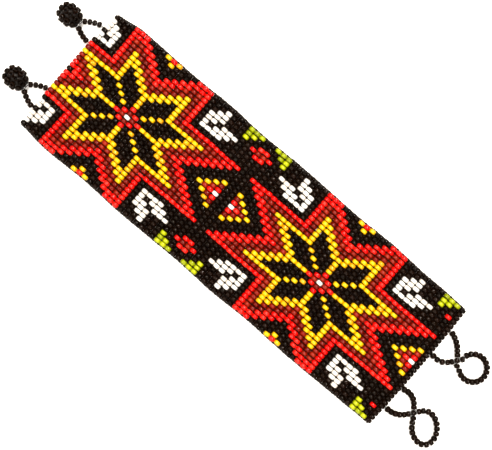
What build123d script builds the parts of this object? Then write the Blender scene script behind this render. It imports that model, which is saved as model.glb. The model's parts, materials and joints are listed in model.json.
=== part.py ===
"""Loom-woven seed-bead bracelet, laid out flat, with two beaded toggles and two beaded loops.

Millimetres. X runs along the band from the toggles (-X) to the loops (+X), Y runs across the band,
and Z is up. The origin is on the resting surface, under the centre of the whole bracelet.
"""
from build123d import *
from math import cos, radians, sin
import os

# Band: one bead row runs across the band on two weft passes, and the rows follow each other along X.
# The last rows were woven less tightly and lie further apart
row_pitch = 2.10
loose_row_pitch = 2.21
tight_rows = 54
bead_pitch = 1.493
beads_across = 31
bead_diameter = 2.04
bead_length = 1.27
chamfer_radial = 0.42
chamfer_axial = 0.30
row_count = 67
end_segment_rows = 5
segment_rows = 3

# Threads of the band
weft_diameter = 0.18
weft_rise = 0.27
warp_diameter = 0.14
warp_end_gap = 0.03

# Clasp beads are a little smaller than band beads and keep their bore open for the thread
cord_bead_diameter = 1.90
cord_bead_length = 1.16
cord_bead_bore = 0.80
cord_thread_diameter = 0.24
cord_lead = 0.22

# Toggles: a ball of beads around a core, held by a wishbone of two beaded cords. The ball's beads
# are sewn on with their bores outwards: two middle rings, two tilted outer rings and two end beads
toggle_reach = 12.90
ball_distance = 9.08
ball_middle_count = 8
ball_middle_radius = 2.86
ball_middle_offset = 0.97
ball_outer_count = 5
ball_outer_radius = 1.98
ball_outer_offset = 2.80
ball_outer_tilt = 45
ball_end_offset = 3.23
ball_height = ball_middle_radius + cord_bead_length / 2
core_diameter = 4.10
core_length = 5.00
core_chamfer = 0.95
core_bore = 0.80
knot_diameter = 0.60
wishbone_end = 4.70
wishbone_half_gap = 1.10
wishbone_sag = 0.35
wishbone_beads = 4
neck_distance = 4.92
neck_knot_diameter = 0.40

# Places of the two cords of each wishbone, counted in beads from the band's edge; a half place is
# between two beads
upper_toggle_y = 12.4
upper_wishbone_places = (4, 8.5)
lower_toggle_y = 12.9
lower_wishbone_places = (4, 9)

# Loops: an eye next to the band and a ring beyond it, whose two strands cross in one shared bead.
# Distances along X are taken from the band's end, and shoulders from the shared bead
loop_reach = 18.40
shoulder_along = 1.03
shoulder_across = 1.34
shoulder_tilt = 38
cord_bead_gap = 0.14
thread_exit = 0.74
ring_thread_start = 0.42

upper_crossing = (7.2, 9.4)
upper_ring_centre = (12.4, 10.8)
upper_ring_radii = (4.3, 4.3)
upper_ring_tilt = 0
upper_ring_start = -129
upper_ring_sweep = 287
upper_ring_beads = 16
upper_eye_places = (5, 11)

lower_crossing = (7.5, -11.4)
lower_ring_centre = (13.0, -12.75)
lower_ring_radii = (5.2, 3.85)
lower_ring_tilt = -49
lower_ring_start = -108
lower_ring_sweep = 292
lower_ring_beads = 16
lower_eye_places = (20.5, 25.5)

# Derived sizes
mid_height = bead_diameter / 2
cord_radius = cord_bead_diameter / 2
band_length = tight_rows * row_pitch + (row_count - tight_rows) * loose_row_pitch
total_length = toggle_reach + band_length + loop_reach
band_start = toggle_reach - total_length / 2
band_end = band_start + band_length
edge_warp_y = beads_across * bead_pitch / 2

os.makedirs("parts", exist_ok=True)


def save(piece, name):
    """Labels a finished piece and writes it as its own STEP file."""
    piece.part.label = name
    export_step(piece.part, f"parts/{name}.step")


def weave_x(rows):
    """X of the place on the band after so many rows, counted from the toggle end."""
    loose = max(0, rows - tight_rows)
    return band_start + (rows - loose) * row_pitch + loose * loose_row_pitch


def bead_y(place):
    """Centre of a bead in its row, counted from the +Y edge."""
    return ((beads_across - 1) / 2 - place) * bead_pitch


def bead_outline(diameter, length, bore):
    """Half section of a seed bead: x is the radius and y runs along the bore."""
    Polyline(
        (bore / 2, -length / 2),
        (diameter / 2 - chamfer_radial, -length / 2),
        (diameter / 2, -length / 2 + chamfer_axial),
        (diameter / 2, length / 2 - chamfer_axial),
        (diameter / 2 - chamfer_radial, length / 2),
        (bore / 2, length / 2),
        close=True,
    )


# Band bead, threaded along Y and filled where the weft is packed into its bore
with BuildPart() as band_bead:
    with BuildSketch(Plane.XY):
        with BuildLine():
            bead_outline(bead_diameter, bead_length, 0)
        make_face()
    revolve(axis=Axis.Y)

# Clasp bead, threaded along Z, with an open bore
with BuildPart() as cord_bead:
    with BuildSketch(Plane.XZ):
        with BuildLine():
            bead_outline(cord_bead_diameter, cord_bead_length, cord_bead_bore)
        make_face()
    revolve(axis=Axis.Z)

# One row: its beads, the weft pass above and below the warps, and the turns around the edge warps
with BuildPart() as bead_row:
    with GridLocations(bead_pitch, bead_pitch, 1, beads_across):
        add(band_bead.part)
    with BuildSketch(Plane.XZ.offset(-edge_warp_y)):
        with GridLocations(2 * weft_rise, 2 * weft_rise, 1, 2):
            Circle(weft_diameter / 2)
    extrude(amount=2 * edge_warp_y)
    for side in (-1, 1):
        with BuildSketch(Plane.XZ.offset(-side * edge_warp_y)) as turn_section:
            with Locations((0, weft_rise)):
                Circle(weft_diameter / 2)
        turn_axis = Axis((0, side * edge_warp_y, 0), (-side, 0, 0))
        revolve(turn_section.sketch, axis=turn_axis, revolution_arc=180)


def make_bead_rows(name, first, count):
    """The bead rows of one stretch of the band, each row a solid of its own."""
    with BuildPart() as rows:
        with Locations(*[(weave_x(first + i + 0.5), 0, mid_height) for i in range(count)]):
            add(bead_row.part)
    save(rows, name)


def make_warp_threads(name, first, count):
    """The warps of one stretch, which run between the beads and end short of the next stretch."""
    start = weave_x(first) + warp_end_gap
    with BuildPart() as warps:
        with BuildSketch(Plane.YZ.offset(start)):
            with Locations((0, mid_height)):
                with GridLocations(bead_pitch, bead_pitch, beads_across + 1, 1):
                    Circle(warp_diameter / 2)
        extrude(amount=weave_x(first + count) - warp_end_gap - start)
    save(warps, name)


# The band bends between stretches of a few rows; the last stretch also carries the edging row
stretch_count = 2 + (row_count - 2 * end_segment_rows) // segment_rows
first_row = 0
for stretch in range(1, stretch_count + 1):
    rows_here = end_segment_rows if stretch in (1, stretch_count) else segment_rows
    edging = 1 if stretch == stretch_count else 0
    make_bead_rows(f"bead_rows_{stretch:02d}", first_row, rows_here - edging)
    make_warp_threads(f"warp_threads_{stretch:02d}", first_row, rows_here)
    first_row += rows_here
make_bead_rows("edging_row", row_count - 1, 1)


def cord_stations(path, count, start_gap, end_gap):
    """Evenly spaced bead locations along a cord, with local Z along the cord."""
    first = start_gap + cord_bead_length / 2
    last = path.length - end_gap - cord_bead_length / 2
    stations = []
    for i in range(count):
        along = first + i * (last - first) / (count - 1)
        place = path.position_at(along, position_mode=PositionMode.LENGTH)
        bore = path.tangent_at(along, position_mode=PositionMode.LENGTH)
        stations.append(Plane(origin=place, z_dir=bore).location)
    return stations


def beads_that_fit(path, start_gap, end_gap):
    """How many beads go on a cord with at least the smallest gap between them."""
    free = path.length - start_gap - end_gap + cord_bead_gap
    return int(free / (cord_bead_length + cord_bead_gap))


def strung(beads, start):
    """A thread's points from a start through the bores of the given beads in turn."""
    points = [start]
    for bead in beads:
        half = Plane(bead).z_dir * cord_bead_length / 2
        ends = [bead.position - half, bead.position + half]
        points += sorted(ends, key=lambda end: (end - points[-1]).length)
    return points


def make_beads(name, stations):
    """Clasp beads at the given locations, one solid each."""
    with BuildPart() as beads:
        with Locations(*stations):
            add(cord_bead.part)
    save(beads, name)


def lay_thread(points):
    """A round thread through the given points, inside the current part."""
    with BuildLine() as route:
        Polyline(*points)
    start = Vector(points[0])
    with BuildSketch(Plane(origin=start, z_dir=Vector(points[1]) - start)) as section:
        Circle(cord_thread_diameter / 2)
    sweep(section.sketch, path=route.wires()[0], transition=Transition.RIGHT)


def ball_stations(centre):
    """Bead locations of a ball: rings around X and an end bead on each side, bores outwards."""
    rings = [
        (ball_middle_offset, ball_middle_radius, 0, ball_middle_count),
        (ball_outer_offset, ball_outer_radius, ball_outer_tilt, ball_outer_count),
    ]
    stations = []
    for side in (-1, 1):
        for offset, radius, tilt, count in rings:
            for i in range(count):
                turn = radians(90 + 360 * i / count)
                outward = Vector(0, cos(turn), sin(turn))
                bore = outward * cos(radians(tilt)) + Vector(side * sin(radians(tilt)), 0, 0)
                place = centre + Vector(side * offset, 0, 0) + outward * radius
                stations.append(Plane(origin=place, z_dir=bore).location)
        end = centre + Vector(side * ball_end_offset, 0, 0)
        stations.append(Plane(origin=end, z_dir=(1, 0, 0)).location)
    return stations


def make_toggle(name, side, toggle_y, places):
    """One toggle: side is +1 at the +Y edge of the band and -1 at the -Y edge."""
    centre = Vector(band_start - ball_distance, side * toggle_y, ball_height)
    make_beads(f"{name}_ball_beads", ball_stations(centre))

    # Core bead inside the ball, bored along X for the thread
    with BuildPart() as core:
        with BuildSketch(Plane.YZ.offset(centre.X - core_length / 2)):
            with Locations((centre.Y, centre.Z)):
                Circle(core_diameter / 2)
        extrude(amount=core_length)
        chamfer(core.edges().filter_by(GeomType.CIRCLE), core_chamfer)
        with BuildSketch(Plane.YZ.offset(centre.X - core_length / 2)):
            with Locations((centre.Y, centre.Z)):
                Circle(core_bore / 2)
        extrude(amount=core_length, mode=Mode.SUBTRACT)
    save(core, f"{name}_ball_core")

    # Wishbone of two cords that meet at the neck; their thread ends in a knot in the far end bead
    neck = Vector(band_start - neck_distance, centre.Y, centre.Z)
    stations = []
    legs = []
    for place, spread in zip(places, (1, -1)):
        start = Vector(band_start, side * bead_y(place), mid_height)
        tip = Vector(band_start - wishbone_end, centre.Y + side * spread * wishbone_half_gap, centre.Z)
        middle = (start + tip) / 2 + Vector(0, side * spread * wishbone_sag, 0)
        with BuildLine() as leg:
            ThreePointArc(start, middle, tip)
        beads = cord_stations(leg.edges()[0], wishbone_beads, cord_lead, 0)
        stations += beads
        root = start - Vector(cord_thread_diameter / 2, 0, 0)
        legs.append(strung(beads, root) + [neck])
    make_beads(f"{name}_cord_beads", stations)
    knot = centre - Vector(ball_end_offset, 0, 0)
    with BuildPart() as thread:
        with Locations(neck):
            Sphere(neck_knot_diameter / 2)
        with Locations(knot):
            Sphere(knot_diameter / 2)
        for strand in legs + [[neck, knot]]:
            lay_thread(strand)
    save(thread, f"{name}_thread")


def shoulder_station(crossing, along, across):
    """The bead beside the shared bead; along and across are +1 or -1."""
    lean = radians(shoulder_tilt)
    place = crossing + Vector(along * shoulder_along, across * shoulder_across, 0)
    return Plane(origin=place, z_dir=(along * sin(lean), across * cos(lean), 0)).location


def make_eye(name, crossing, places):
    """The eye of a loop: two legs from the band, their shoulders and the shared bead."""
    lean = radians(shoulder_tilt)
    stations = [Plane(origin=crossing, z_dir=(0, 1, 0)).location]
    strand = []
    for across, place in zip((1, -1), places):
        shoulder = shoulder_station(crossing, -1, across)
        outward = Vector(-sin(lean), across * cos(lean), 0)
        start = shoulder.position + outward * (cord_bead_length / 2 + cord_bead_gap)
        foot = Vector(band_end, bead_y(place), crossing.Z)
        with BuildLine() as leg:
            TangentArc(start, foot, tangent=outward)
        path = leg.edges()[0]
        beads = cord_stations(path, beads_that_fit(path, 0, cord_lead), 0, cord_lead)
        stations += [shoulder] + beads
        root = foot + Vector(cord_thread_diameter / 2, 0, 0)
        way_out = crossing + Vector(0, across * thread_exit, 0)
        half = strung([shoulder] + beads, way_out) + [root]
        strand = half[::-1] + strand if across > 0 else strand + half
    make_beads(f"{name}_eye_beads", stations)
    with BuildPart() as thread:
        lay_thread(strand)
    save(thread, f"{name}_eye_thread")


def make_ring(name, crossing, centre, radii, tilt, start, sweep_angle, count):
    """The ring of a loop, from one shoulder around the far side to the other."""
    with BuildLine() as path:
        EllipticalCenterArc(centre, *radii, start_angle=start, arc_size=sweep_angle, rotation=tilt)
    lead = -cord_bead_length / 2
    beads = cord_stations(path.edges()[0], count, lead, lead)
    low = shoulder_station(crossing, 1, -1)
    high = shoulder_station(crossing, 1, 1)
    make_beads(f"{name}_ring_beads", [low] + beads + [high])
    low_end = crossing + Vector(ring_thread_start, -thread_exit, 0)
    high_end = crossing + Vector(ring_thread_start, thread_exit, 0)
    with BuildPart() as thread:
        lay_thread(strung([low] + beads + [high], low_end) + [high_end])
    save(thread, f"{name}_ring_thread")


def loop_point(place):
    """A point of a loop at bead height, given from the band's end."""
    return Vector(band_end + place[0], place[1], cord_radius)


def make_loop(name, crossing, places, centre, radii, tilt, start, sweep_angle, count):
    """One loop: its eye, and its ring beyond the crossing."""
    make_eye(name, loop_point(crossing), places)
    make_ring(name, loop_point(crossing), loop_point(centre), radii, tilt, start, sweep_angle, count)


make_toggle("upper_toggle", 1, upper_toggle_y, upper_wishbone_places)
make_toggle("lower_toggle", -1, lower_toggle_y, lower_wishbone_places)
make_loop(
    "upper_loop",
    upper_crossing,
    upper_eye_places,
    upper_ring_centre,
    upper_ring_radii,
    upper_ring_tilt,
    upper_ring_start,
    upper_ring_sweep,
    upper_ring_beads,
)
make_loop(
    "lower_loop",
    lower_crossing,
    lower_eye_places,
    lower_ring_centre,
    lower_ring_radii,
    lower_ring_tilt,
    lower_ring_start,
    lower_ring_sweep,
    lower_ring_beads,
)
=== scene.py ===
"""Looks of the loom-woven seed-bead bracelet: every bead, warp and weft of its own, on the CAD frame.

Metres. X runs along the band from the toggles to the loops, Y across it and Z up, as in the frame.
"""
import bpy
import json
import math
import numpy as np
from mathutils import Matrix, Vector


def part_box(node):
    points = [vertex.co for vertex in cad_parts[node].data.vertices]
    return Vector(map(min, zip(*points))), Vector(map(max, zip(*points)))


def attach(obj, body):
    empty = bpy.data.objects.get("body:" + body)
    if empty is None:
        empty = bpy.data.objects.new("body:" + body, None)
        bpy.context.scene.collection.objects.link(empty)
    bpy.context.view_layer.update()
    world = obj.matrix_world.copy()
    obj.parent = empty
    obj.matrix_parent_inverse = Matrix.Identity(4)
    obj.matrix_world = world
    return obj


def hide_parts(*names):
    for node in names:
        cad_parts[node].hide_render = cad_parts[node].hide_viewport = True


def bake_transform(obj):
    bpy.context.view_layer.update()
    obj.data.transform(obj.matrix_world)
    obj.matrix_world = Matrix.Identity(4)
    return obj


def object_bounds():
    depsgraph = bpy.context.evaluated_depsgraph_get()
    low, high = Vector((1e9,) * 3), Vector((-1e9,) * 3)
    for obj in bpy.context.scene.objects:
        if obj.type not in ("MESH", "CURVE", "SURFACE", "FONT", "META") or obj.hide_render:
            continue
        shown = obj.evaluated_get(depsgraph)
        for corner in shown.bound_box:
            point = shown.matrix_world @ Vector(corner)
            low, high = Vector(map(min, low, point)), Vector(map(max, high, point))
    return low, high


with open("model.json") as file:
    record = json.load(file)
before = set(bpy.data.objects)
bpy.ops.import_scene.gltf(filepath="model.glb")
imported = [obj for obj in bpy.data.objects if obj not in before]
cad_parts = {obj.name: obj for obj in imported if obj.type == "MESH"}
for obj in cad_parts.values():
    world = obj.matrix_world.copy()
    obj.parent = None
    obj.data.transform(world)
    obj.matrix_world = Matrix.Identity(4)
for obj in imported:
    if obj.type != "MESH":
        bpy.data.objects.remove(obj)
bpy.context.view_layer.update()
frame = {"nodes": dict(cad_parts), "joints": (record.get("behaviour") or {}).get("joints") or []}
nodes = frame["nodes"]

random = np.random.default_rng(seed=7)

MM = 0.001
MICRON = 0.001 * MM

# The woven band: 31 beads across, in stretches of rows with a hinge between each two
ROWS = 67
PLACES = 31
STRETCHES = 21
STRETCH_ROWS = 3
END_STRETCH_ROWS = 5
BEAD_PITCH = 1.493 * MM
BEAD_RADIUS = 1.00 * MM
BEAD_HALF_LENGTH = 0.65 * MM
BEAD_LIFT = 0.05 * MM
BORE_RADIUS = 0.40 * MM

# Its threads. WARP_TAIL is how far a warp runs past the outer rows, in rows
WARP_RADIUS = 0.12 * MM
# Between the rows the warps swell into dark thread that fills the open corners between the beads: painted
# shade over the real warp
WARP_SHADE_BULGE = 0.17 * MM
WARP_TAIL = 0.2
WEFT_RADIUS = 0.10 * MM
WEFT_RISE = 0.27 * MM
TIED_PLACES = (6, 24)
TIE_OFFSET = 0.2 * MM

# Spreads of the band beads around their pitch, size and level, and the limits of their size
ROW_SPREAD = 0.02 * MM
HEIGHT_SPREAD = 0.018
LENGTH_SPREAD = 0.045
LIFT_SPREAD = 0.02 * MM
X_SPREAD = 0.012 * MM
Y_SPREAD = 0.025 * MM
NOD_SPREAD = 0.035
YAW_SPREAD = 0.04
SMALLEST_BEAD = 0.6
LARGEST_BEAD = 1.02
ROOM_FILLED = 1.006

# Band beads that are unlike the rest, by row and place: the letter of another colour, and a fault
THIN, SUNKEN = "thin", "sunken"
ODD_BEADS = {(18, 22): (None, THIN), (43, 7): (None, SUNKEN), (54, 1): ("M", None)}
THIN_LENGTH = 0.62
SUNKEN_LIFT = -0.25 * MM
SUNKEN_SIZE = (0.8, 0.9)

# Clasp beads and the threads that lead to them from the band. Beads near a loop's fold keep their size
CORD_BEAD_RADIUS = 0.96 * MM
CORD_BEAD_HALF_LENGTH = 0.60 * MM
CORD_THREAD_RADIUS = 0.13 * MM
CLASP_TILT = 0.03
CLASP_SPIN = 6.28
WIDTH_SPREAD, WIDTH_LIMITS = 0.015, (0.96, 1.0)
CLASP_LENGTH_SPREAD, CLASP_LENGTH_LIMITS = 0.03, (0.92, 1.02)
FOLD_ROOM = 3.2 * MM
LONGER_BEADS = 1.1
WIDER_BEADS = 1.06
LEADS = 2
LEAD_DEPTH = 1.5 * MM
LEAD_BEND = 0.7 * MM

# Bead mesh: points around the bore and around the section, and how round the section is, up to 1
AROUND = 18
PROFILE = 12
ROUNDNESS = 0.95

# Row centres along X, read from the stretches of the frame
edging_low, edging_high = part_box("edging_row")
MID_HEIGHT = (edging_low.z + edging_high.z) / 2
half_row = (edging_high.x - edging_low.x) / 2
rows_in_stretches = [END_STRETCH_ROWS] + [STRETCH_ROWS] * (STRETCHES - 2) + [END_STRETCH_ROWS - 1]
row_centres = []
for stretch, rows_in_stretch in enumerate(rows_in_stretches, 1):
    low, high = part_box(f"bead_rows_{stretch:02d}")
    row_centres += list(np.linspace(low.x + half_row, high.x - half_row, rows_in_stretch))
row_centres.append((edging_low.x + edging_high.x) / 2)
ROW_PITCH = row_centres[1] - row_centres[0]
band_middle_x = (row_centres[0] + row_centres[-1]) / 2

# One quarter of the woven chart, from a star's centre outwards: a line for each place across the
# band and a letter for each row along it
CHART = """
WMRYYYYMMRRKKKYMRWK
MRKKKKYYMMRRKKKYMRK
RKYKKKKYYMMRRKKKYMK
YKKYKKKKYYMMRRKKKYK
YKKKYKKKKYYMMRRKKKK
YKKKKYYYYYYYMMRRKKK
YYKKKYMMMMMMMMMRRKK
MYYKKYMRRRRRRRRRRRK
MMYYKYMRKKKKKKKKKKK
RMMYYYMRKWWWWKKKKKK
RRMMYYMRKWKWWWKKKKK
KRRMMYMRKWWKWWWKKKR
KKRRMMMRKWWWKKKKKRM
KKKRRMMRKKWWKKKLKKR
YKKKRRRRKKKWKKKLLKK
RYKKKRRRKKKKKKKLLLK
""".split()
STAR_ROWS = (11, 48)
MIDDLE_PLACE = 15


def chart_colour(row, place):
    """The chart's letter for one bead."""
    if row == ROWS - 1:
        return "K"
    along = min(abs(row - star) for star in STAR_ROWS)
    across = abs(place - MIDDLE_PLACE)
    return CHART[across][along]


def smooth(value, low, high):
    """0 before low, 1 after high, and smooth between."""
    t = np.clip((value - low) / (high - low), 0, 1)
    return t * t * (3 - 2 * t)


# Hand-woven unevenness: rows wander sideways, the width swells and shrinks, the band draws in at its
# ends, the end rows bow, and one corner is drawn in
END_DRAW = 0.022
END_REACH = 11 * MM
SWELL = 0.008
SWELL_LENGTH = 33 * MM
SWELL_PEAK = -29 * MM
ROW_WANDER = 0.09 * MM
SLOW_WANDER, WANDER_START = 0.61, 0.8
QUICK_WANDER, QUICK_SHARE = 1.7, 0.5
START_PUSH = 0.02 * MM
START_BOW = 0.35 * MM
START_SLANT = 0.18 * MM
SECOND_PUSH = 0.4 * MM
SECOND_BOW = -0.8 * MM
END_PUSH = 0.04 * MM
END_BOW = -0.5 * MM
BOW_ROWS = 6
CORNER_PULL = 0.55 * MM
CORNER_ROWS = 5
CORNER_PLACES = 7

row_numbers = np.arange(ROWS)
row_places_x = np.array(row_centres)
to_end = np.minimum(row_places_x - row_places_x[0], row_places_x[-1] - row_places_x)
row_width = 1 - END_DRAW * (1 - smooth(to_end, 0, END_REACH))
row_width += SWELL * np.cos(2 * np.pi * (row_places_x - SWELL_PEAK) / SWELL_LENGTH)
wander = np.sin(row_numbers * SLOW_WANDER + WANDER_START) + QUICK_SHARE * np.sin(row_numbers * QUICK_WANDER)
row_shift = ROW_WANDER * wander / (1 + QUICK_SHARE)
row_shift += random.normal(0, ROW_SPREAD, ROWS)


def corner_pull(row, place):
    """How far a bead is drawn in at the one slack corner of the band."""
    return CORNER_PULL * (1 - smooth(row, 0, CORNER_ROWS)) * (1 - smooth(place, 0, CORNER_PLACES))


def place_y(row, place):
    """Centre of a bead in its row, or of a warp for a place between two beads."""
    middle = ((PLACES - 1) / 2 - place) * BEAD_PITCH
    return middle * row_width[row] + row_shift[row] - corner_pull(row, place)


def place_x(row, place):
    """Centre of a bead along the band: straight rows, but bowed ones at both ends."""
    across = 1 - 2 * (place + 0.5) / PLACES
    bow = across**2
    first = 1 - smooth(row, 0, BOW_ROWS - 1)
    second = (1 - first) * (1 - smooth(row, BOW_ROWS - 1, 2 * BOW_ROWS))
    end = smooth(row, ROWS - 1 - BOW_ROWS, ROWS - 1)
    shift = first * (START_PUSH + START_BOW * bow + START_SLANT * across) + corner_pull(row, place)
    shift += second * (SECOND_PUSH + SECOND_BOW * bow) + end * (END_PUSH + END_BOW * bow)
    return row_centres[row] + shift


def row_room(row, place):
    """The length of band that a bead has between the rows before and after it."""
    before, after = max(row - 1, 0), min(row + 1, ROWS - 1)
    return (place_x(after, place) - place_x(before, place)) / (after - before)


# Meshes from arrays
STEEP = 0.9
BORE_STEEP = 0.8
ALONG_X = [[1.0, 0, 0]]
ALONG_Z = [[0, 0, 1.0]]


def build_mesh(name, points, quads, materials, faces=None):
    """A smooth mesh object from points (N, 3), quads (M, 4) and, in faces, a material number for each."""
    mesh = bpy.data.meshes.new(name)
    mesh.vertices.add(len(points))
    mesh.vertices.foreach_set("co", np.asarray(points, np.float32).ravel())
    mesh.loops.add(4 * len(quads))
    mesh.loops.foreach_set("vertex_index", np.asarray(quads, np.int32).ravel())
    mesh.polygons.add(len(quads))
    mesh.polygons.foreach_set("loop_start", np.arange(0, 4 * len(quads), 4, dtype=np.int32))
    mesh.polygons.foreach_set("use_smooth", np.ones(len(quads), bool))
    for material in materials:
        mesh.materials.append(material)
    if faces is not None:
        mesh.polygons.foreach_set("material_index", np.asarray(faces, np.int32))
    mesh.update(calc_edges=True)
    mesh.validate()
    obj = bpy.data.objects.new(name, mesh)
    bpy.context.scene.collection.objects.link(obj)
    return obj


def ring_quads(rings, around, closed):
    """Quads that join each ring of points to the next one, and the last to the first where closed."""
    i = np.arange(rings if closed else rings - 1)[:, None]
    j = np.arange(around)[None, :]
    near, far = i * around, (i + 1) % rings * around
    after = (j + 1) % around
    return np.stack([near + j, near + after, far + after, far + j], axis=-1).reshape(-1, 4)


def squared(wave):
    """A sine or cosine, pressed towards a square wave."""
    return np.sign(wave) * np.abs(wave) ** ROUNDNESS


def bead_shape(radius, half_length):
    """Points and quads of one seed bead: a rounded ring section turned around its bore, along Y."""
    turn = np.arange(PROFILE) * 2 * np.pi / PROFILE
    out = (radius + BORE_RADIUS) / 2 + (radius - BORE_RADIUS) / 2 * squared(np.cos(turn))
    along = half_length * squared(np.sin(turn))
    angle = (np.arange(AROUND) * 2 * np.pi / AROUND)[:, None]
    points = np.stack([out * np.cos(angle), along + 0 * angle, out * np.sin(angle)], axis=-1)
    return points.reshape(-1, 3), ring_quads(AROUND, PROFILE, closed=True)


def turned(about_x, about_y, about_z):
    """Rotation matrices (N, 3, 3) that spin about Y first, then tilt about X and Z."""
    one = np.ones_like(about_x)
    nil = np.zeros_like(about_x)
    c, s = np.cos(about_y), np.sin(about_y)
    spin = np.stack([c, nil, s, nil, one, nil, -s, nil, c], -1).reshape(-1, 3, 3)
    c, s = np.cos(about_x), np.sin(about_x)
    nod = np.stack([one, nil, nil, nil, c, -s, nil, s, c], -1).reshape(-1, 3, 3)
    c, s = np.cos(about_z), np.sin(about_z)
    yaw = np.stack([c, -s, nil, s, c, nil, nil, nil, one], -1).reshape(-1, 3, 3)
    return yaw @ nod @ spin


def many_beads(shape, centres, turns, sizes):
    """Points and quads of many beads: each a copy of the shape, sized, turned and moved."""
    points, quads = shape
    sized = points[None] * sizes[:, None, :]
    placed = np.einsum("nij,nkj->nki", turns, sized) + centres[:, None, :]
    steps = (np.arange(len(centres)) * len(points))[:, None, None]
    return placed.reshape(-1, 3), (quads[None] + steps).reshape(-1, 4)


def tube(route, radius, sides=6, closed=False):
    """Points and quads of a round thread along a route of points."""
    route = np.asarray(route, float)
    if closed:
        run = np.roll(route, -1, 0) - np.roll(route, 1, 0)
    else:
        run = np.gradient(route, axis=0)
    run /= np.linalg.norm(run, axis=1)[:, None]
    guide = np.where(closed | (np.abs(run[:, 2:3]) > STEEP), ALONG_X, ALONG_Z)
    side = np.cross(run, guide)
    side /= np.linalg.norm(side, axis=1)[:, None]
    up = np.cross(side, run)
    angle = (np.arange(sides) * 2 * np.pi / sides)[None, :, None]
    points = route[:, None] + radius * (np.cos(angle) * side[:, None] + np.sin(angle) * up[:, None])
    return points.reshape(-1, 3), ring_quads(len(route), sides, closed)


def joined(meshes):
    """Several (points, quads) as one."""
    points, quads, count = [], [], 0
    for some_points, some_quads in meshes:
        points.append(some_points)
        quads.append(some_quads + count)
        count += len(some_points)
    return np.concatenate(points), np.concatenate(quads)


# Materials. Scales are noise cells per metre
TONE = 0.68
GLASS_IOR = 1.52
MOTTLE_SCALE, MOTTLE_DETAIL = 1300, 3.0
WEAR_SCALE, WEAR = 2600, (-0.05, 0.07)
RIPPLE_SCALE, RIPPLE_DEPTH, RIPPLE_STRENGTH = 700, 0.03 * MM, 0.6
TWIST_SCALE, TWIST_DISTORTION, TWIST_DEPTH, TWIST_STRENGTH = 2600, 2.0, 0.02 * MM, 0.7
FUZZ_SCALE, FUZZ_ROUGHNESS, THREAD_SPECULAR = 4000, (0.55, 0.8), 0.12
GRAIN_SCALE, GRAIN_DETAIL, GRAIN_STRETCH = 900, 4.0, (1.0, 6.0, 6.0)
GRAIN_ROUGHNESS, GRAIN_DEPTH, GRAIN_STRENGTH = (0.45, 0.65), 0.03 * MM, 0.5
PAPER_SCALE, PAPER_DETAIL, PAPER_ROUGHNESS = 400, 3.0, 0.9


def linear(red, green, blue):
    """Scene-linear colour from 0 to 255 screen values."""
    parts = [v / 255 for v in (red, green, blue)]
    return tuple(v / 12.92 if v <= 0.04045 else ((v + 0.055) / 1.055) ** 2.4 for v in parts) + (1.0,)


class Nodes:
    """A material's node tree with short calls for the nodes used here."""

    def __init__(self, name):
        """A new material, with its shader and the object's own coordinates at hand."""
        self.material = bpy.data.materials.new(name)
        self.material.use_nodes = True
        self.tree = self.material.node_tree
        self.shader = self.tree.nodes["Principled BSDF"]
        self.place = self.add("ShaderNodeTexCoord").outputs["Object"]

    def add(self, kind, **settings):
        """A new node of a kind."""
        node = self.tree.nodes.new(kind)
        for key, value in settings.items():
            setattr(node, key, value)
        return node

    def link(self, source, target):
        """Leads an output to an input."""
        self.tree.links.new(source, target)

    def noise(self, scale, detail=2.0):
        """A noise of so many cells per metre, from 0 to 1."""
        node = self.add("ShaderNodeTexNoise")
        node.inputs["Scale"].default_value = scale
        node.inputs["Detail"].default_value = detail
        self.link(self.place, node.inputs["Vector"])
        return node.outputs["Fac"]

    def per_bead(self):
        """A random number for each separate bead."""
        return self.add("ShaderNodeNewGeometry").outputs["Random Per Island"]

    def ramp(self, value, stops):
        """A colour ramp: stops are (position, colour)."""
        node = self.add("ShaderNodeValToRGB")
        elements = node.color_ramp.elements
        while len(elements) < len(stops):
            elements.new(0.5)
        for element, (position, colour) in zip(elements, stops):
            element.position = position
            element.color = colour
        self.link(value, node.inputs["Fac"])
        return node.outputs["Color"]

    def mapped(self, value, low, high):
        """A number from 0..1 to low..high."""
        node = self.add("ShaderNodeMapRange")
        node.inputs["To Min"].default_value = low
        node.inputs["To Max"].default_value = high
        self.link(value, node.inputs["Value"])
        return node.outputs["Result"]

    def maths(self, operation, a, b):
        """Two outputs added or multiplied."""
        node = self.add("ShaderNodeMath", operation=operation)
        self.link(a, node.inputs[0])
        self.link(b, node.inputs[1])
        return node.outputs["Value"]

    def shaded(self, colour, brightness):
        """A colour times a brightness number."""
        node = self.add("ShaderNodeMix", data_type="RGBA", blend_type="MULTIPLY")
        node.inputs["Factor"].default_value = 1.0
        self.link(colour, node.inputs["A"])
        self.link(brightness, node.inputs["B"])
        return node.outputs["Result"]

    def bump(self, height, distance, strength):
        """Raises the shaded surface by a height output."""
        node = self.add("ShaderNodeBump")
        node.inputs["Distance"].default_value = distance
        node.inputs["Strength"].default_value = strength
        self.link(height, node.inputs["Height"])
        self.link(node.outputs["Normal"], self.shader.inputs["Normal"])


def toned(colour):
    """A screen colour as scene-linear, darkened by TONE."""
    return tuple(TONE * part for part in linear(*colour)[:3]) + (1.0,)


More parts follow.
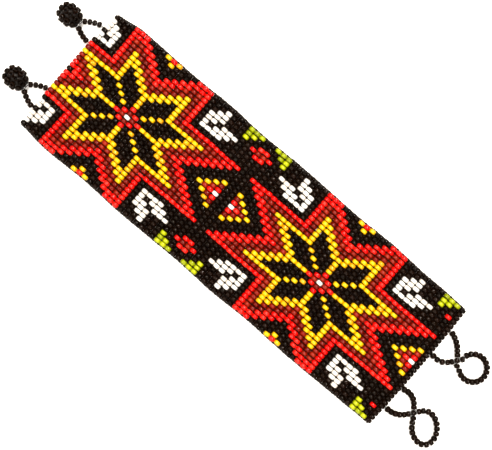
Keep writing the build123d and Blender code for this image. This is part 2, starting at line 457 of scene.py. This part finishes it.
def bead_glass(name, low, middle, high, middle_at, mottle, roughness, specular):
    """Opaque pressed glass: each bead its own shade, faint mottling, softly rippled glossy skin."""
    n = Nodes(name)
    shade = n.ramp(n.per_bead(), [(0.0, toned(low)), (middle_at, toned(middle)), (1.0, toned(high))])
    brightness = n.mapped(n.noise(MOTTLE_SCALE, MOTTLE_DETAIL), 1 - mottle, 1 + mottle)
    n.link(n.shaded(shade, brightness), n.shader.inputs["Base Color"])
    polish = n.mapped(n.per_bead(), *roughness)
    wear = n.mapped(n.noise(WEAR_SCALE), *WEAR)
    n.link(n.maths("ADD", polish, wear), n.shader.inputs["Roughness"])
    n.shader.inputs["IOR"].default_value = GLASS_IOR
    n.shader.inputs["Specular IOR Level"].default_value = specular
    n.bump(n.noise(RIPPLE_SCALE), RIPPLE_DEPTH, RIPPLE_STRENGTH)
    return n.material


def beading_thread(name, dark, light):
    """Waxed twisted thread: fine twist bands with a dull sheen."""
    n = Nodes(name)
    wave = n.add("ShaderNodeTexWave", bands_direction="DIAGONAL")
    wave.inputs["Scale"].default_value = TWIST_SCALE
    wave.inputs["Distortion"].default_value = TWIST_DISTORTION
    n.link(n.place, wave.inputs["Vector"])
    twist = wave.outputs["Fac"]
    fuzz = n.noise(FUZZ_SCALE)
    mixed = n.maths("MULTIPLY", twist, fuzz)
    n.link(n.ramp(mixed, [(0.0, dark), (0.6, light)]), n.shader.inputs["Base Color"])
    n.link(n.mapped(fuzz, *FUZZ_ROUGHNESS), n.shader.inputs["Roughness"])
    n.shader.inputs["Specular IOR Level"].default_value = THREAD_SPECULAR
    n.bump(twist, TWIST_DEPTH, TWIST_STRENGTH)
    return n.material


def stained_wood(name, dark, light):
    """Turned wood with a stain, and grain along X."""
    n = Nodes(name)
    stretch = n.add("ShaderNodeMapping")
    stretch.inputs["Scale"].default_value = GRAIN_STRETCH
    n.link(n.place, stretch.inputs["Vector"])
    n.place = stretch.outputs["Vector"]
    grain = n.noise(GRAIN_SCALE, GRAIN_DETAIL)
    n.link(n.ramp(grain, [(0.3, dark), (0.7, light)]), n.shader.inputs["Base Color"])
    n.link(n.mapped(grain, *GRAIN_ROUGHNESS), n.shader.inputs["Roughness"])
    n.bump(grain, GRAIN_DEPTH, GRAIN_STRENGTH)
    return n.material


def white_paper(name, dark, light):
    """Matt paper with a faint unevenness."""
    n = Nodes(name)
    fibres = n.noise(PAPER_SCALE, PAPER_DETAIL)
    n.link(n.ramp(fibres, [(0.0, dark), (1.0, light)]), n.shader.inputs["Base Color"])
    n.shader.inputs["Roughness"].default_value = PAPER_ROUGHNESS
    return n.material


# The glass of each letter of the chart: name, three screen colours that its beads vary through and
# where the second one lies from 0 to 1, how mottled it is, how rough its beads are, specular level
GLASS_LOOKS = {
    "K": ("black_glass", (14, 5, 0), (22, 9, 1), (30, 16, 8), 0.6, 0.25, (0.05, 0.11), 0.10),
    "R": ("red_glass", (226, 12, 6), (240, 22, 12), (246, 40, 26), 0.6, 0.10, (0.16, 0.30), 0.25),
    "M": ("maroon_glass", (104, 14, 2), (128, 24, 4), (150, 36, 10), 0.6, 0.16, (0.16, 0.30), 0.18),
    "Y": ("yellow_glass", (232, 158, 20), (240, 180, 4), (244, 194, 4), 0.12, 0.08, (0.16, 0.30), 0.3),
    "W": ("white_glass", (226, 218, 208), (238, 234, 228), (246, 244, 240), 0.5, 0.04, (0.14, 0.26), 0.35),
    "L": ("lime_glass", (136, 146, 2), (164, 174, 4), (186, 192, 10), 0.5, 0.10, (0.16, 0.30), 0.25),
}
GLASS = {letter: bead_glass(*look) for letter, look in GLASS_LOOKS.items()}
LETTERS = list(GLASS)
thread_material = beading_thread("waxed_thread", linear(6, 3, 2), linear(22, 13, 9))
core_material = stained_wood("stained_core", linear(10, 6, 4), linear(26, 17, 11))

# The band's beads and threads, in pieces: one on each end stretch, and one across each hinge between the
# stretches
BAND_SHAPE = bead_shape(BEAD_RADIUS, BEAD_HALF_LENGTH)


def band_piece_rows(piece):
    """The rows in one piece: piece 0 and the last ride on the band's ends, the rest cross a hinge."""
    edges = [0] + [END_STRETCH_ROWS - 1 + STRETCH_ROWS * k for k in range(STRETCHES)] + [ROWS]
    return range(edges[piece], edges[piece + 1])


def attach_band_piece(obj, piece):
    """Rides on an end stretch; a piece that crosses a hinge keeps its place, with its transform applied."""
    if piece == 0:
        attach(obj, "band_01")
    elif piece == STRETCHES:
        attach(obj, f"band_{STRETCHES:02d}")
    else:
        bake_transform(obj)


def stretches_of(piece):
    """The stretches that a piece stands for."""
    return [k for k in (piece, piece + 1) if 1 <= k <= STRETCHES]


def make_band_beads(piece):
    """All beads of one piece's rows, coloured by the chart."""
    centres, letters, sizes = [], [], []
    for row in band_piece_rows(piece):
        for place in range(PLACES):
            letter, fault = ODD_BEADS.get((row, place), (None, None))
            size = [1 + random.normal(0, HEIGHT_SPREAD), 1 + random.normal(0, LENGTH_SPREAD)]
            lift = BEAD_LIFT + random.normal(0, LIFT_SPREAD)
            if fault == THIN:
                size[1] = THIN_LENGTH
            if fault == SUNKEN:
                lift = SUNKEN_LIFT
                size = SUNKEN_SIZE
            height, length = np.clip(size, SMALLEST_BEAD, 1 if fault else LARGEST_BEAD)
            width = (height if fault else ROOM_FILLED) * row_room(row, place) / 2 / BEAD_RADIUS
            x = place_x(row, place) + random.normal(0, X_SPREAD)
            y = place_y(row, place) + random.normal(0, Y_SPREAD)
            centres.append((x, y, MID_HEIGHT + lift))
            sizes.append((width, length, height))
            letters.append(LETTERS.index(letter or chart_colour(row, place)))
    count = len(centres)
    tilt = turned(random.normal(0, NOD_SPREAD, count), np.zeros(count), random.normal(0, YAW_SPREAD, count))
    points, quads = many_beads(BAND_SHAPE, np.array(centres), tilt, np.array(sizes))
    faces = np.repeat(letters, len(BAND_SHAPE[1]))
    obj = build_mesh(f"woven_beads_{piece:02d}", points, quads, GLASS.values(), faces)
    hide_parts(*[f"bead_rows_{k:02d}" for k in stretches_of(piece)])
    attach_band_piece(obj, piece)
    return obj


def weft_route(row):
    """The weft's closed way through one row: over the warps, around the edge, back under them."""
    places = np.arange(-0.5, PLACES, 0.5)
    over = [(place_x(row, p), place_y(row, p), MID_HEIGHT + WEFT_RISE) for p in places]
    under = [(x, y, MID_HEIGHT - WEFT_RISE) for x, y, _ in over[::-1]]
    turn = np.linspace(0, np.pi, 7)[1:-1]
    top_x, top_y, _ = over[0]
    low_x, low_y, _ = over[-1]
    low_turn = [(low_x, low_y - WEFT_RISE * np.sin(a), MID_HEIGHT + WEFT_RISE * np.cos(a)) for a in turn]
    top_turn = [(top_x, top_y + WEFT_RISE * np.sin(a), MID_HEIGHT - WEFT_RISE * np.cos(a)) for a in turn]
    return over + low_turn + under + top_turn


def warp_point(row, warp):
    """A warp's place at a bead row, or part of the way to the next one."""
    near = [min(max(r, 0), ROWS - 1) for r in (math.floor(row), math.ceil(row))]
    x = sum(place_x(r, warp - 0.5) for r in near) / 2 + (row - sum(near) / 2) * ROW_PITCH
    y = sum(place_y(r, warp - 0.5) for r in near) / 2
    return (x, y, MID_HEIGHT)


def make_band_threads(piece):
    """The wefts of one piece's rows and its stretch of all the warps, wider between the rows, where the
    swollen dark thread fills the bead corners as painted shade.
    """
    rows = list(band_piece_rows(piece))
    meshes = [tube(weft_route(row), WEFT_RADIUS, closed=True) for row in rows]
    before = rows[0] - (0.5 if rows[0] > 0 else WARP_TAIL)
    after = rows[-1] + (0.5 if rows[-1] < ROWS - 1 else WARP_TAIL)
    stops = [before] + list(np.arange(rows[0], rows[-1] + 0.25, 0.5)) + [after]
    from_row = np.abs(np.array(stops) - np.round(stops)) * 2
    for warp in range(PLACES + 1):
        route = [warp_point(row, warp) for row in stops]
        # Real warp thread, swollen between the rows into dark fill that stands for the shade in the bead
        # corners
        meshes.append(tube(route, WARP_RADIUS + WARP_SHADE_BULGE * from_row[:, None, None]))
    points, quads = joined(meshes)
    obj = build_mesh(f"weave_threads_{piece:02d}", points, quads, [thread_material])
    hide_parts(*[f"warp_threads_{k:02d}" for k in stretches_of(piece)])
    attach_band_piece(obj, piece)


for piece_number in range(STRETCHES + 1):
    last_beads = make_band_beads(piece_number)
    make_band_threads(piece_number)
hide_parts("edging_row")


# Clasp beads, at the places of the CAD beads
CORD_SHAPE = bead_shape(CORD_BEAD_RADIUS, CORD_BEAD_HALF_LENGTH)


def shell_labels(count, a, b):
    """A number for each of count points, the same for all points that the edges from a to b join."""
    label = np.arange(count)
    settled = False
    while not settled:
        lowest = np.minimum(label[a], label[b])
        spread = label.copy()
        np.minimum.at(spread, a, lowest)
        np.minimum.at(spread, b, lowest)
        spread = spread[spread]
        settled = (spread == label).all()
        label = spread
    return label


def bead_places(node):
    """Centre and bore direction of every bead in a CAD node, from its separate shells."""
    mesh = nodes[node].data
    points = np.empty(3 * len(mesh.vertices))
    mesh.vertices.foreach_get("co", points)
    ends = np.empty(2 * len(mesh.edges), np.int32)
    mesh.edges.foreach_get("vertices", ends)
    grid, spot = np.unique(np.round(points.reshape(-1, 3) / MICRON).astype(int), axis=0, return_inverse=True)
    label = shell_labels(len(grid), *spot.ravel()[ends.reshape(-1, 2)].T)
    centres, bores = [], []
    for shell in np.unique(label):
        corners = grid[label == shell] * MICRON
        centre = (corners.min(0) + corners.max(0)) / 2
        sizes, directions = np.linalg.eigh(np.cov((corners - centre).T))
        odd_one = 0 if sizes[1] - sizes[0] > sizes[2] - sizes[1] else 2
        centres.append(centre)
        bores.append(directions[:, odd_one])
    return np.array(centres), np.array(bores)


def facing(bores):
    """Rotation matrices (N, 3, 3) that turn Y to the given directions."""
    helper = np.where(np.abs(bores[:, 2:3]) > BORE_STEEP, ALONG_X, ALONG_Z)
    side = np.cross(bores, helper)
    side /= np.linalg.norm(side, axis=1)[:, None]
    return np.stack([side, bores, np.cross(side, bores)], axis=-1)


def make_clasp_beads(node, body):
    """Glass beads over the CAD beads of one clasp part."""
    centres, bores = bead_places(node)
    count = len(centres)
    loose = turned(
        random.normal(0, CLASP_TILT, count),
        random.uniform(0, CLASP_SPIN, count),
        random.normal(0, CLASP_TILT, count),
    )
    width = np.clip(random.normal(1, WIDTH_SPREAD, count), *WIDTH_LIMITS)
    length = np.clip(random.normal(1, CLASP_LENGTH_SPREAD, count), *CLASP_LENGTH_LIMITS)
    if "loop" in node:
        fold = next(j["pos_m"] for j in frame["joints"] if j["name"] == f"{node.split('_')[0]}_loop_fold")
        near_fold = np.linalg.norm(centres - np.array(fold), axis=1) < FOLD_ROOM
        length *= np.where(near_fold, 1, LONGER_BEADS)
        width *= np.where(near_fold, 1, WIDER_BEADS)
    sizes = np.stack([width, length, width], axis=-1)
    points, quads = many_beads(CORD_SHAPE, centres, facing(bores) @ loose, sizes)
    obj = build_mesh(f"{node}_glass", points, quads, [GLASS["K"]])
    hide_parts(node)
    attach(obj, body)


def recolour(node, material):
    """Gives a CAD node one material of this scene's."""
    nodes[node].data.materials.clear()
    nodes[node].data.materials.append(material)


for side in ("upper", "lower"):
    make_clasp_beads(f"{side}_toggle_cord_beads", f"{side}_toggle_cords")
    make_clasp_beads(f"{side}_toggle_ball_beads", f"{side}_toggle_ball")
    make_clasp_beads(f"{side}_loop_eye_beads", f"{side}_loop_eye")
    make_clasp_beads(f"{side}_loop_ring_beads", f"{side}_loop_ring")
    for thread_node in (f"{side}_toggle_thread", f"{side}_loop_eye_thread", f"{side}_loop_ring_thread"):
        recolour(thread_node, thread_material)
    recolour(f"{side}_toggle_ball_core", core_material)


# Threads that cross from the band into the cords and loops, and ties over two beads of the first row


def lead_in(number, route, cord):
    """A thread from between the band's beads into a cord's first bead, bending where they meet."""
    points, quads = tube(route, CORD_THREAD_RADIUS, sides=8)
    obj = build_mesh(f"lead_in_{cord}_{number}", points, quads, [thread_material])
    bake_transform(obj)


def first_beads(node, edge_x, count):
    """The beads of a cord that lie nearest to the band's edge."""
    centres, _ = bead_places(node)
    nearest = np.argsort(np.abs(centres[:, 0] - edge_x))[:count]
    return centres[nearest]


start_x = row_centres[0] - ROW_PITCH / 2
end_x = row_centres[-1] + ROW_PITCH / 2
for side in ("upper", "lower"):
    for node, edge_x, outwards, band, cord in (
        (f"{side}_toggle_cord_beads", start_x, -1, "band_01", f"{side}_toggle_cords"),
        (f"{side}_loop_eye_beads", end_x, 1, f"band_{STRETCHES:02d}", f"{side}_loop_eye"),
    ):
        bend_x = edge_x - outwards * LEAD_BEND
        for number, (x, y, z) in enumerate(first_beads(node, edge_x, LEADS), 1):
            inside = (edge_x - outwards * LEAD_DEPTH, y + BEAD_PITCH / 4, MID_HEIGHT)
            bend = (bend_x, y + BEAD_PITCH / 8, MID_HEIGHT)
            mouth = (x - outwards * CORD_BEAD_HALF_LENGTH, y, z)
            start, end = (bend_x, y, MID_HEIGHT), (x, y, z)
            lead_in(number, [inside, bend, mouth, end], cord)


def tie_over(place):
    """A thread laid over one bead of the first row, along its bore, from gap to gap."""
    x, y = place_x(0, place) + TIE_OFFSET, place_y(0, place)
    reach, rise = BEAD_PITCH / 2, BEAD_RADIUS + WEFT_RADIUS
    arch = np.linspace(0, np.pi, 11)
    route = [(x, y + reach * math.cos(a) ** 3, MID_HEIGHT + rise * math.sin(a) ** 0.5) for a in arch]
    points, quads = tube(route, WEFT_RADIUS)
    obj = build_mesh(f"tie_thread_{place:02d}", points, quads, [thread_material])
    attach(obj, "band_01")


for tied in TIED_PLACES:
    tie_over(tied)


# Camera straight above, turned about Z, so that the band runs from the upper left to the lower right
CAMERA_TURN = math.radians(40.63)
VIEW_WIDTH = 150.6 * MM
VIEW_MIDDLE = (band_middle_x + 2.19 * MM, -1.2 * MM)
LENS = 85.0
SENSOR = 36.0
scene = bpy.context.scene
camera_data = bpy.data.cameras.new("camera")
camera_data.lens = LENS
camera_data.sensor_width = SENSOR
camera_data.sensor_fit = "HORIZONTAL"
camera = bpy.data.objects.new("camera", camera_data)
camera.location = (*VIEW_MIDDLE, MID_HEIGHT + VIEW_WIDTH * LENS / SENSOR)
camera.rotation_euler = (0, 0, CAMERA_TURN)
scene.collection.objects.link(camera)
scene.camera = camera

# Soft studio light on a white floor
FLOOR_SIZE = 2.0
LAMP_TINT = (1.0, 0.95, 0.88)
SKY_HEIGHTS = (0.25, 0.75)
HORIZON = (0.40, 0.36, 0.32, 1)
OVERHEAD = (0.34, 0.31, 0.28, 1)
EXPOSURE = 0.3

bpy.ops.mesh.primitive_plane_add(size=FLOOR_SIZE, location=(0, 0, min(0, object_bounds()[0].z)))
floor = bpy.context.object
floor.name = "floor"
floor.data.materials.append(white_paper("floor_paper", (0.93, 0.93, 0.93, 1), (0.97, 0.97, 0.97, 1)))


def softbox(name, azimuth, elevation, distance, size, power):
    """A square area light aimed at the object; azimuth is counter-clockwise from image right."""
    data = bpy.data.lights.new(name, "AREA")
    data.shape = "SQUARE"
    data.size = size
    data.energy = power
    data.color = LAMP_TINT
    light = bpy.data.objects.new(name, data)
    turn = CAMERA_TURN + math.radians(azimuth)
    lift = math.radians(elevation)
    away = Vector((math.cos(lift) * math.cos(turn), math.cos(lift) * math.sin(turn), math.sin(lift)))
    light.location = distance * away
    light.rotation_euler = away.to_track_quat("Z", "Y").to_euler()
    scene.collection.objects.link(light)


softbox("key_light", azimuth=35, elevation=70, distance=0.7, size=0.05, power=3.6)
softbox("left_light", azimuth=170, elevation=55, distance=0.8, size=0.35, power=3.0)
softbox("top_light", azimuth=80, elevation=55, distance=0.8, size=0.35, power=3.0)
softbox("low_light", azimuth=-70, elevation=55, distance=0.8, size=0.35, power=3.0)


def shaded_sky(horizon, overhead):
    """A world that fades from one colour near the horizon to another overhead."""
    world = bpy.data.worlds.new("studio")
    world.use_nodes = True
    tree = world.node_tree
    direction = tree.nodes.new("ShaderNodeTexCoord")
    height = tree.nodes.new("ShaderNodeSeparateXYZ")
    shade = tree.nodes.new("ShaderNodeValToRGB")
    tree.links.new(direction.outputs["Generated"], height.inputs["Vector"])
    tree.links.new(height.outputs["Z"], shade.inputs["Fac"])
    tree.links.new(shade.outputs["Color"], tree.nodes["Background"].inputs["Color"])
    for stop, position, colour in zip(shade.color_ramp.elements, SKY_HEIGHTS, (horizon, overhead)):
        stop.position = position
        stop.color = colour
    return world


scene.world = shaded_sky(HORIZON, OVERHEAD)
scene.view_settings.view_transform = "Standard"
scene.view_settings.look = "Medium High Contrast"
scene.view_settings.exposure = EXPOSURE
